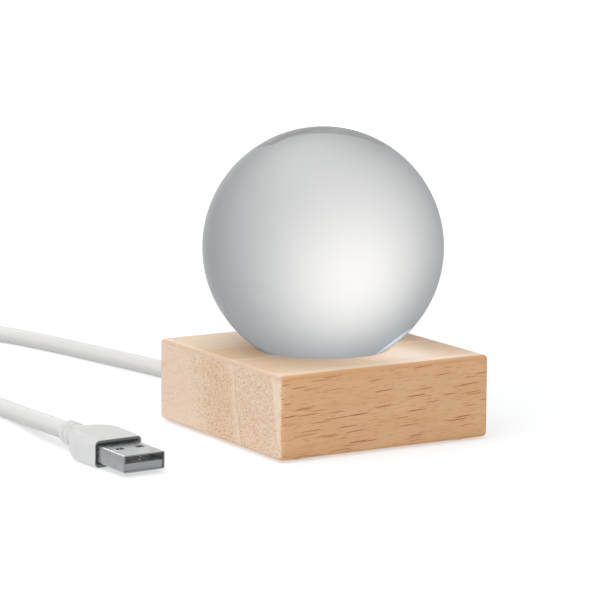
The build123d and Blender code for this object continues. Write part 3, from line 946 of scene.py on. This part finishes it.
def grain_noise(grain, cell, detail=2.0, roughness=0.5):
    """Noise whose cells are stretched along the grain."""
    return noise(vector_math("DIVIDE", grain, cell), detail, roughness)


def pores(grain, cell, thin, wide):
    """Long narrow vessels in the wood: 1 inside, fading out between thin and wide cell radii."""
    place = vector_math("DIVIDE", grain, cell)
    cells = outputs(grain.tree, "ShaderNodeTexVoronoi", Vector=place, Scale=1.0, Randomness=1.0)
    return fade(cells["Distance"], wide, thin)


def long_grain(grain, fibres, clouds):
    """The colour of the front and the back, and where their pores are."""
    streaks = fibres + clouds * 0.7
    fine = pores(grain, fine_pore_cell, 0.18, 0.28) * 0.35
    coarse = pores(grain, pore_cell, 0.19, 0.27) * fade(clouds, 0.35, 0.6, 0.5, 1.0)
    found = math_node("MAXIMUM", coarse, fine)
    colour = paint(
        front_wood,
        (fade(streaks, 0.85, 1.1), front_wood_light),
        (fade(streaks, 0.85, 0.55), front_wood_dark),
        (found, pore_brown),
    )
    return colour, found


def end_grain(grain, tone):
    """The colour of the left and right faces, with rings, stains, dots and pale specks."""
    stained = fade(grain_noise(grain, end_mark_cell, 3.0, 0.6), 0.52, 0.68) * 0.5
    dots = pores(grain, fine_pore_cell, 0.26, 0.42) * fade(tone, 0.7, 0.35, 0.35, 0.95)
    pale = fade(grain_noise(grain, speck_cell, 2.0, 0.7), 0.6, 0.75) * 0.5
    return paint(
        end_wood_dark,
        (fade(tone, 0.1, 0.5), end_wood),
        (fade(tone, 0.5, 0.95), end_wood_light),
        (stained, end_wood_dark),
        (dots, end_pore_brown),
        (pale, end_wood_light),
    )


def through_ball_shade_mask(tree):
    """Painted shade: the block's top where a ray reaches it from far off through the ball, or mirrored in
    it.
    """
    path = outputs(tree, "ShaderNodeLightPath")
    outside = fade(flat_distance(measures(tree)), seat_rim_radius - 1.5, seat_rim_radius)
    far = outside * fade(path["Ray Length"], 18.0 * mm, 23.0 * mm)
    bounced = math_node("GREATER_THAN", path["Glossy Depth"], 0.5)
    return path["Is Singular Ray"] * math_node("MAXIMUM", far, bounced) * 0.97


# %% [markdown]
# The colours meet by the way that the surface looks. The seam between end grain and long grain is
# ragged, because the fibres end there. The rounded edges are painted a little darker than the faces,
# as painted shade against the light they catch, with some real wear on sharp edges. Seen through the
# ball or mirrored in it, the top is painted the card's grey as painted shade, because the crescent of
# the real one has no brown.

# %% Wood: the finish


def wood_finish():
    material, tree, shader = new_material("bare_wood", front_wood, 0.55, Specular_IOR_Level=0.35)
    grain = measures(tree, (ring_lean, grain_rise, 0.0))
    tone = tone_ramp(split(grain)[1] + grain_noise(grain, sway_cell) * ring_sway, ring_tones)
    fibres = grain_noise(grain, fibre_cell, 3.0, 0.6)
    long_colour, long_pores = long_grain(grain, fibres, grain_noise(grain, cloud_cell))
    # Which way the surface looks
    across, along, upwards = split(coords(tree, "Normal"))
    end_side = fade(abs(across) + (fibres - 0.5) * 0.9, 0.55, 0.85)
    # Painted light: the top is painted lighter than the front's long grain
    top_painted_lighter = mix_colours(fade(tone, 0.25, 0.75), top_wood_dark, top_wood)
    # Edges: sanded round, then painted darker as painted shade against the light they catch, with some
    # real wear on sharp edges
    wear = place_group(tree, edge_wear, Width=0.8 * mm, Ragged=0.5)["Mask"]
    long_edge_shade = fade(abs(along) * upwards, 0.02, 0.25, 0.0, 0.95)
    end_edge_shade_and_wear = math_node("MAXIMUM", fade(abs(across) * upwards, 0.1, 0.4), wear)
    colour = paint(
        long_colour,
        (fade(upwards, 0.7, 0.97), mix_colours(0.8, long_colour, top_painted_lighter)),
        (end_side, end_grain(grain, tone)),
        # Painted shade: the rounded edges are laid darker, and the end edges also take wear
        (long_edge_shade, front_wood_dark),
        (end_edge_shade_and_wear * 0.65, edge_shade_and_wear_wood),
        # Painted shade: grey where the top is seen through the ball or mirrored in it
        (through_ball_shade_mask(tree), through_ball_shade_grey),
    )
    drive(
        shader,
        Base_Color=colour,
        Roughness=fade(fibres, 0.3, 0.7, 0.5, 0.64) + long_pores * 0.2,
    )
    emboss(shader, fibres * 0.35 - long_pores, 0.012 * mm)
    return material


dress("wood_base", wood_finish())
print("wood with", len(ring_tones), "stops across its rings")

# %% [markdown]
# ## Metal of the plug
# The shell is thin steel, folded and plated, with faint lines from rolling and scratches from being
# pushed into sockets. The contacts are plated the same way in a warmer metal. Stretched noise along
# the plug gives the rolling lines, and the shared scratches and edges do the rest.

# %% Metal


def metal_finish(name, colour, roughness, line_cell, depth):
    """Plated sheet metal with rolling lines, scratches and bright rubbed edges."""
    material, tree, shader = new_material(name, colour, roughness, Metallic=1.0)
    lines = noise(measures(tree, cell=line_cell), 2.0)
    plated = mottled(place_group(tree, moulded_skin, Grain=0.4, Cloud=3.0)["Clouds"], colour, 0.86)
    marks = place_group(tree, hair_marks, Length=3.0, Width=0.07)["Mask"]
    wear = place_group(tree, edge_wear, Width=0.12 * mm, Ragged=0.5)["Mask"]
    rubbed = brighter(colour, 0.45)
    drive(
        shader,
        Base_Color=paint(plated, (marks * 0.3, rubbed), (wear, rubbed)),
        Roughness=fade(lines, 0.25, 0.75, roughness * 0.75, roughness * 1.25) + marks * 0.15,
    )
    emboss(shader, lines - marks, depth)
    return material


dress("usb_shell", metal_finish("plated_shell", (0.79, 0.80, 0.81), 0.3, (0.06, 3.0, 0.06), 0.002 * mm))
screw_metal = metal_finish("zinc_plate", (0.60, 0.61, 0.62), 0.34, (0.12, 0.12, 1.0), 0.004 * mm)
dress("solder_joints", metal_finish("solder", (0.70, 0.71, 0.72), 0.3, (0.5, 0.5, 0.5), 0.03 * mm))
print("metal on the shell and the solder")

# %% [markdown]
# ## Contact strips
# Four flat strips lie in grooves of the plug's tongue. They have a slightly crowned top and a rounded
# tip, so that they slide into a socket, and those round tips are what glints in the dark mouth. All
# four follow one rule, so Geometry Nodes shape one strip from a divided cube and set it on four
# points, the outer two farther apart and longer. A small lamp that lights nothing else draws the glint.

# %% Contact strips
strip_sizes = {
    "Width": 1.0 * mm,
    "Height": 0.26 * mm,
    "Tip Round": 0.6 * mm,
    "Length": 7.7 * mm,
    "Inner Length": 6.7 * mm,
    "Inner Spacing": 2.0 * mm,
    "Outer Spacing": 7.0 * mm,
}
strip_count = 4
strip_crown = 0.3
strip_least_height = 0.02 * mm
strip_back = -28.8 * mm
strip_floor = -0.30 * mm
glint_lamp_power = 14.0
plug_end = Vector(plug_run_points[-1]) * mm
plug_back = (Vector(plug_run_points[-2]) * mm - plug_end).normalized()
plug_across = plug_back.cross(Vector((0.0, 0.0, 1.0))).normalized()
plug_turn = Matrix((plug_across, plug_back, plug_across.cross(plug_back))).transposed()


def strip_shape(tree, entry):
    """One strip of the tree's sizes, which ends at the origin and points along -Y."""
    divided = {"Vertices_X": 9, "Vertices_Y": 33, "Vertices_Z": 2}
    cube = outputs(tree, "GeometryNodeMeshCube", Size=(1.0, 1.0, 1.0), **divided)["Mesh"]
    across, along, level = split(outputs(tree, "GeometryNodeInputPosition")["Position"])
    # The rows crowd towards the tip, where the strip rounds off
    from_tip = math_node("POWER", along + 0.5, 1.6) * entry["Length"]
    fallen = 1.0 - clamped(from_tip / entry["Tip Round"])
    round_off = math_node("SQRT", 1.0 - fallen * fallen)
    half = across * 2.0
    height = round_off * (1.0 - half * half * strip_crown) * entry["Height"]
    height = math_node("MAXIMUM", height, strip_least_height)
    place = combine(tree, across * entry["Width"], from_tip - entry["Length"], (level + 0.5) * height)
    return reshape(cube, "SetPosition", Position=place)


def build_contact_strips():
    tree, entry, values = new_shape("contact_strips", strip_sizes)
    centred = outputs(tree, "GeometryNodeInputIndex")["Index"] - (strip_count - 1) / 2
    outer = abs(centred) - 0.5
    apart = entry["Inner Spacing"] + (entry["Outer Spacing"] - entry["Inner Spacing"]) * outer
    side = math_node("SIGN", centred) * 0.5
    spots = combine(tree, side * apart)
    points = outputs(tree, "GeometryNodePoints", Count=strip_count, Position=spots)["Points"]
    short = entry["Inner Length"] / entry["Length"]
    stretch = combine(tree, 1.0, short + (1.0 - short) * outer, 1.0)
    strips = outputs(
        tree,
        "GeometryNodeInstanceOnPoints",
        Points=points,
        Instance=strip_shape(tree, entry),
        Scale=stretch,
    )["Instances"]
    put = reshape(
        strips,
        "Transform",
        Translation=plug_end + plug_turn @ Vector((0.0, strip_back, strip_floor)),
        Rotation=plug_turn.to_euler(),
    )
    plate = metal_finish("pale_plate", (0.90, 0.88, 0.83), 0.25, (0.05, 1.5, 0.05), 0.001 * mm)
    finish_shape(put, plate)
    piece = grow_piece("contact_strips", tree, values, "base", "contact_metal", "usb_contacts")
    piece.visible_transmission = False
    return piece


contact_strips = build_contact_strips()
light_only(soft_box("glint_box", 165, 18, 0.8, 0.3, glint_lamp_power), contact_strips)

# %% [markdown]
# ## Screws
# Three countersunk screws hold the cover, and three domed ones hold the light board. The heads of the
# first are seen from below, so they get a real cross recess: bump alone would stay flat there. Each
# kind is one screw, set on the corners of a triangle. Geometry Nodes join its head and shank, cut the
# recess with a boolean, and place the result at three points of a circle.

# %% Screws
screw_sides = 40
dome_rings = 20
recess_width = 0.45 * mm
shank_overlap = 0.3 * mm
# A hair narrower than the dome, so that the two never coincide
under_dome_share = 0.985
# Sizes in millimetres of the cover's screws and of the board's screws
screw_sizes = {
    "Head Radius": (2.1, 1.9),
    "Head Height": (0.95, 1.3),
    "Crown": (0.0, 0.5),
    "Shank Radius": (1.15, 1.0),
    "Length": (7.4, 6.9),
    "Recess Span": (2.3, 2.0),
    "Recess Depth": (0.8, 0.9),
    "Circle Radius": (24.7, 20.8),
    "Level": (0.6, 9.1),
}
cover_column, board_column = 0, 1


def raised(geometry, level):
    """The same geometry moved up."""
    return reshape(geometry, "Transform", Translation=combine(geometry.tree, z=level))


def turned_solid(bottom, top, depth):
    """A cone or a cylinder that stands on the origin."""
    sizes = {"Radius_Bottom": bottom, "Radius_Top": top, "Depth": depth}
    return outputs(bottom.tree, "GeometryNodeMeshCone", Vertices=screw_sides, **sizes)["Mesh"]


def countersunk_head(entry):
    return [turned_solid(entry["Head Radius"], entry["Shank Radius"], entry["Head Height"])]


def domed_head(entry):
    """A flat dome under a short cylinder."""
    wide, crown = entry["Head Radius"], entry["Crown"]
    round_ball = {"Segments": screw_sides, "Rings": dome_rings, "Radius": 1.0}
    dome = outputs(wide.tree, "GeometryNodeMeshUVSphere", **round_ball)["Mesh"]
    dome = reshape(dome, "Transform", Scale=combine(wide.tree, wide, wide, crown))
    narrow = wide * under_dome_share
    body = turned_solid(narrow, narrow, entry["Head Height"] - crown)
    return [raised(dome, crown), raised(body, crown)]


def cross_recess(tree, entry):
    """Two crossed bars, which reach from below the head to the recess's depth."""
    span, tall = entry["Recess Span"], entry["Recess Depth"] * 2.0
    sizes = (combine(tree, span, recess_width, tall), combine(tree, recess_width, span, tall))
    return [outputs(tree, "GeometryNodeMeshCube", Size=size)["Mesh"] for size in sizes]


def boolean(tree, operation, first, others):
    """Join solids, or cut the others out of the first."""
    node = add_node(tree, "GeometryNodeMeshBoolean", {"operation": operation, "solver": "EXACT"})
    if first:
        feed(node.inputs[0], first)
    for other in others:
        feed(node.inputs[1], other)
    return Signal(node.outputs["Mesh"])


def build_screws(name, node_name, column, first_angle, head):
    sizes = {title: pair[column] * mm for title, pair in screw_sizes.items()}
    tree, entry, values = new_shape(name, {**sizes, "First Angle": radians(first_angle)})
    shank = turned_solid(entry["Shank Radius"], entry["Shank Radius"], entry["Length"] - shank_overlap)
    whole = boolean(tree, "UNION", None, (*head(entry), raised(shank, shank_overlap)))
    cut = boolean(tree, "DIFFERENCE", whole, cross_recess(tree, entry))
    circle = {"Vertices": 3, "Radius": entry["Circle Radius"]}
    corners = outputs(tree, "GeometryNodeMeshCircle", **circle)["Mesh"]
    spots = outputs(tree, "GeometryNodeInstanceOnPoints", Points=corners, Instance=cut)["Instances"]
    turn = combine(tree, z=entry["First Angle"])
    put = reshape(raised(spots, entry["Level"]), "Transform", Rotation=turn)
    finish_shape(put, screw_metal, smooth=False)
    grow_piece(name, tree, values, "base", "screw_steel", node_name)


build_screws("cover_screws_cut", "cover_screws", cover_column, 60.0, countersunk_head)
build_screws("board_screws_cut", "board_screws", board_column, 30.0, domed_head)

# %% [markdown]

# %% [markdown]
# ## Moulded pieces inside and out
# The rest is moulded: the plug's dark core and grey tongue, the frosted window, the black cover, the
# rubber feet and strap, the nylon tie and the two wires. They share one recipe and differ in colour,
# gloss and the size of the mould's grain, as the real ones do.

# %% Moulded pieces
# Node, finish, colour, roughness, grain in millimetres and its depth in millimetres
moulded_pieces = (
    ("plug_core", "core_grey", (0.12, 0.122, 0.125), 0.45, 0.2, 0.010),
    ("usb_tongue", "tongue_grey", (0.40, 0.405, 0.41), 0.5, 0.25, 0.008),
    ("bottom_cover", "cover_black", (0.022, 0.022, 0.023), 0.5, 0.5, 0.05),
    ("rubber_feet", "foot_rubber", (0.035, 0.035, 0.036), 0.8, 0.35, 0.04),
    ("cable_tie", "tie_nylon", (0.72, 0.70, 0.64), 0.35, 0.3, 0.008),
    ("lead_wire_red", "wire_red", (0.42, 0.012, 0.01), 0.35, 0.3, 0.006),
    ("lead_wire_black", "wire_black", (0.018, 0.018, 0.019), 0.35, 0.3, 0.006),
    ("cord_tie", "strap_rubber", (0.028, 0.028, 0.030), 0.65, 0.3, 0.03),
)
for node_name, finish, colour, roughness, grain, depth in moulded_pieces:
    dress(node_name, moulded_finish(finish, colour, roughness, grain, depth * mm, 0.12))
frosted = moulded_finish(
    "frosted_window", (0.95, 0.955, 0.95), 0.55, 0.12, 0.01 * mm, 0.02, Transmission_Weight=0.2
)
dress("light_window", frosted)
print("moulded pieces dressed:", len(moulded_pieces) + 1)

# %% [markdown]
# ## The light board
# The board is white-lacquered laminate with a ring of copper under the lacquer that joins the light
# sources. Each source is a white cup filled with yellow phosphor, and each resistor a black chip with
# tinned ends. Masks from the place on the board draw these areas, because they follow simple circles
# and lines that can be given in millimetres.

# %% Light board
copper_ring_radius = 10.0
copper_ring_half_width = 0.9
copper_ring_blur = 0.15
well_floor_top = 12.68
well_floor_blur = 0.04
resistor_row = -8.0
resistor_body_half = 0.65
resistor_body_blur = 0.05
lacquer_white = (0.80, 0.81, 0.79)
laminate_brown = (0.52, 0.42, 0.24)
cup_white = (0.82, 0.82, 0.78)
phosphor_yellow = (0.85, 0.60, 0.06)
chip_black = (0.02, 0.02, 0.022)
tin_grey = (0.65, 0.66, 0.67)


def masked_finish(name, base, second, roughness, build_mask, metal_share=0.0):
    """A finish of two colours, where build_mask(place, facing) says where the second one is."""
    material, tree, shader = new_material(name, base, roughness)
    mask = build_mask(measures(tree), coords(tree, "Normal"))
    skin = place_group(tree, moulded_skin, Grain=0.25, Cloud=5.0)
    drive(
        shader,
        Base_Color=mix_colours(mask, mottled(skin["Clouds"], base, 0.93), second),
        Roughness=fade(skin["Clouds"], 0.2, 0.8, roughness * 0.85, roughness * 1.15),
    )
    if metal_share:
        drive(shader, Metallic=mask * metal_share)
    emboss(shader, mask + skin["Height"] * 0.2, 0.03 * mm)
    return material


def copper_mask(place, facing):
    """The ring of copper, and the bare laminate at the board's edge."""
    off_ring = abs(flat_distance(place) - copper_ring_radius)
    ring = fade(off_ring, copper_ring_half_width + copper_ring_blur, copper_ring_half_width)
    side = fade(abs(split(facing)[2]), 0.6, 0.4)
    return math_node("MAXIMUM", ring * 0.35, side)


def phosphor_mask(place, facing):
    """The floor of each cup: it looks up and lies lower than the rim."""
    low = fade(split(place)[2], well_floor_top + well_floor_blur, well_floor_top)
    return low * fade(split(facing)[2], 0.7, 0.9)


def tinned_mask(place, facing):
    """The two tinned ends of each resistor."""
    along = abs(split(place)[1] - resistor_row)
    return fade(along, resistor_body_half, resistor_body_half + resistor_body_blur)


dress("led_board", masked_finish("board_lacquer", lacquer_white, laminate_brown, 0.35, copper_mask))
dress("led_chips", masked_finish("chip_cup", cup_white, phosphor_yellow, 0.4, phosphor_mask))
resistor_finish = masked_finish("resistor_chip", chip_black, tin_grey, 0.35, tinned_mask, 0.9)
dress("board_resistors", resistor_finish)
print("light board dressed")
